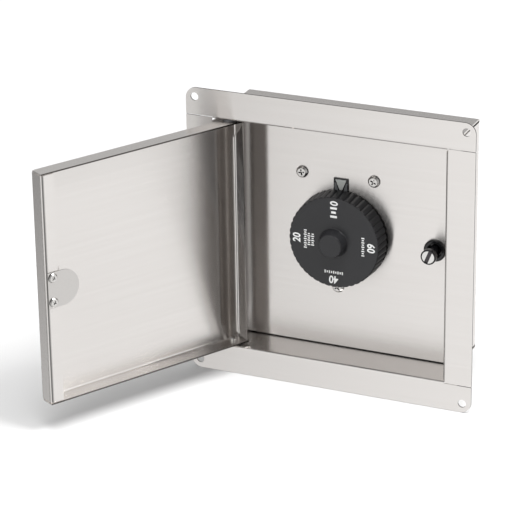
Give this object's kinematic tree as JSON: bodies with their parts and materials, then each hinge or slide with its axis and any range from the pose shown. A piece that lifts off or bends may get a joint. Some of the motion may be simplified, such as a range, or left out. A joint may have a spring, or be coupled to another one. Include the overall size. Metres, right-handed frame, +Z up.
{
  "type": "recessed timer box",
  "caption": "Recessed stainless wall box with a hinged door, holding a wind-up interval timer behind a plain panel, a fluted dial knob, an index tag and a push-to-open magnetic latch.",
  "frame": {"origin": "centre of the four wall screws, on the wall plane (back face of the flange)", "axes": "+X to the right seen from the front, +Y into the wall, +Z up"},
  "size_m": [0.2517, 0.1943, 0.2032],
  "materials": {
    "stainless": "satin, horizontal grain",
    "plated": "bright zinc or nickel plate",
    "knob_plastic": "fine moulded texture",
    "latch_plastic": "smooth",
    "magnet": "dull sintered",
    "index_grey": "satin print",
    "brass": "machined",
    "spring_steel": "blued strip",
    "insulator": "moulded phenolic",
    "gland_plastic": "moulded"
  },
  "bodies": {
    "root": {"wall_box": "stainless", "timer_panel": "stainless", "panel_rivets": "stainless", "latch_housing": "latch_plastic", "latch_nut": "latch_plastic", "latch_spring": "spring_steel", "index_plate": "latch_plastic", "index_arrow": "index_grey", "timer_screws": "plated", "movement_front_plate": "plated", "movement_rear_plate": "plated", "movement_pillars": "plated", "pillar_screws": "plated", "spindle_bushing": "brass", "rear_bushing": "brass", "mainspring": "spring_steel", "spring_post": "plated", "contact_block": "insulator", "contact_blades": "brass", "contact_buttons": "plated", "terminal_block": "insulator", "terminal_plates": "brass", "terminal_screws": "plated", "cable_gland": "gland_plastic", "gland_nut": "gland_plastic", "ground_screw": "brass"},
    "door": {"door_tray": "stainless", "upper_hinge_pin": "plated", "lower_hinge_pin": "plated", "hinge_washers": "gland_plastic", "hinge_clips": "spring_steel", "strike_plate": "plated", "strike_screws": "plated"},
    "plunger": {"latch_plunger": "latch_plastic", "latch_magnet": "magnet", "latch_poles": "plated"},
    "dial": {"dial_knob": "knob_plastic", "knob_insert": "brass", "knob_set_screw": "spring_steel", "timer_spindle": "plated", "spindle_clip": "spring_steel", "spring_hub": "plated", "great_wheel": "brass", "switch_cam": "insulator"},
    "first_train": {"first_arbor": "plated", "first_wheel": "brass"},
    "second_train": {"second_arbor": "plated", "second_wheel": "brass"},
    "escapement": {"escape_arbor": "plated", "escape_wheel": "brass"},
    "pallet": {"pallet_lever": "brass", "pallet_staff": "plated"}
  },
  "joints": [
    {"name": "door_hinge", "type": "hinge", "parent": "root", "child": "door", "pos_m": [-0.07225, 0.0033, 0], "axis": [0, 0, 1], "range_deg": [0, 119.2]},
    {"name": "latch_push", "type": "slide", "parent": "root", "child": "plunger", "axis": [0, 1, 0], "range_m": [0, 0.006], "stiffness_N_per_m": 150, "springref_m": -0.012, "deforming": ["latch_spring"]},
    {"name": "dial_turn", "type": "hinge", "parent": "root", "child": "dial", "pos_m": [-0.001, 0.012, 0.0005], "axis": [0, 1, 0], "range_deg": [0, 270], "stiffness_Nm_per_rad": 0.01, "springref_deg": -28.65},
    {"name": "first_train_spin", "type": "hinge", "parent": "root", "child": "first_train", "pos_m": [-0.01979, 0.037, 0.01135], "axis": [0, 1, 0], "range_deg": [-1350, 0]},
    {"name": "second_train_spin", "type": "hinge", "parent": "root", "child": "second_train", "pos_m": [-0.02232, 0.037, -0.00354], "axis": [0, 1, 0], "range_deg": [0, 5400]},
    {"name": "escapement_spin", "type": "hinge", "parent": "root", "child": "escapement", "pos_m": [-0.01453, 0.037, -0.01647], "axis": [0, 1, 0], "range_deg": [-21600, 0]},
    {"name": "pallet_rock", "type": "hinge", "parent": "root", "child": "pallet", "pos_m": [-0.00498, 0.037, -0.02083], "axis": [0, 1, 0], "range_deg": [-5, 5]}
  ],
  "couplings": [
    {"joint": "first_train_spin", "follows": "dial_turn", "ratio": -5},
    {"joint": "second_train_spin", "follows": "dial_turn", "ratio": 20},
    {"joint": "escapement_spin", "follows": "dial_turn", "ratio": -80}
  ]
}
